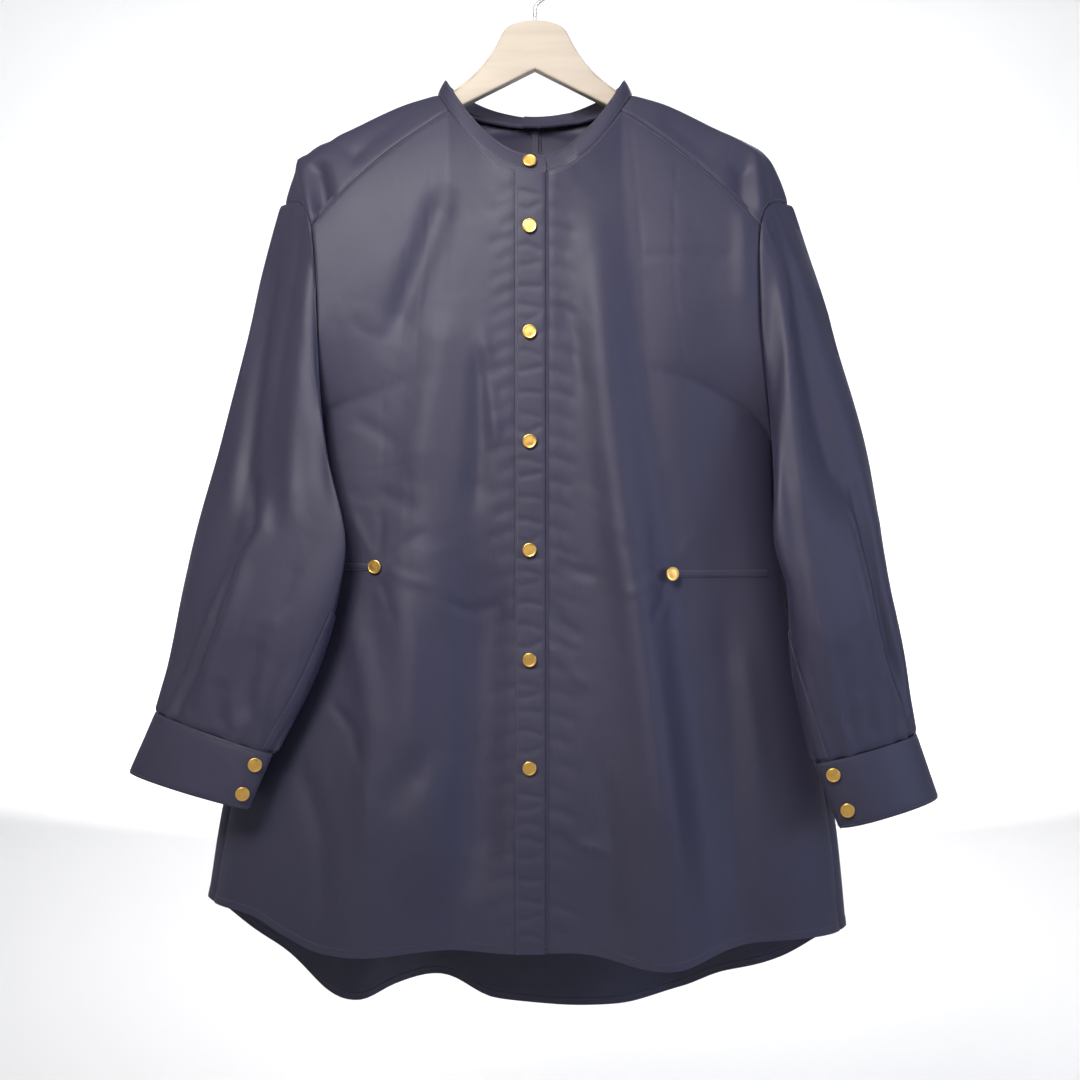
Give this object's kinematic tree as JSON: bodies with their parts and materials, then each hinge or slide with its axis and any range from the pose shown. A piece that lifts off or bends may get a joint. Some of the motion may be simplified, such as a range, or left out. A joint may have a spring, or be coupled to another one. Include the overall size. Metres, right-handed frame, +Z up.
{
  "type": "band collar shirt on a wooden hanger",
  "caption": "Loose long-sleeved tunic shirt with a band collar, buttoned plackets and cuffs and a curved dipping hem, hanging on a flat wooden hanger.",
  "frame": {"origin": "inside top of the hanger's hook, at the middle of the wire, where a rail carries it", "axes": "+Z up, +X to the viewer's right across the shoulders, the shirt's front faces -Y"},
  "size_m": [0.7012, 0.1558, 0.9503],
  "materials": {
    "navy_cloth": "close smooth cotton satin weave with a soft sheen",
    "gold_button": "flat satin gold",
    "hanger_wood": "pale sanded wood",
    "hook_wire": "bright bent wire"
  },
  "bodies": {
    "root": {"hanger_wood": "hanger_wood", "hanger_hook": "hook_wire", "yoke_left": "navy_cloth", "yoke_right": "navy_cloth", "front_left": "navy_cloth", "front_right": "navy_cloth", "back": "navy_cloth", "placket_under": "navy_cloth", "placket_over": "navy_cloth", "collar_left": "navy_cloth", "collar_right": "navy_cloth", "sleeve_left": "navy_cloth", "sleeve_right": "navy_cloth", "sleeve_placket_left": "navy_cloth", "sleeve_placket_right": "navy_cloth", "cuff_left": "navy_cloth", "cuff_right": "navy_cloth", "waist_tab_left": "navy_cloth", "waist_tab_right": "navy_cloth", "button_collar": "gold_button", "button_front_1": "gold_button", "button_front_2": "gold_button", "button_front_3": "gold_button", "button_front_4": "gold_button", "button_front_5": "gold_button", "button_front_6": "gold_button", "button_waist_left": "gold_button", "button_waist_right": "gold_button", "button_cuff_left_1": "gold_button", "button_cuff_left_2": "gold_button", "button_cuff_right_1": "gold_button", "button_cuff_right_2": "gold_button"}
  },
  "joints": []
}
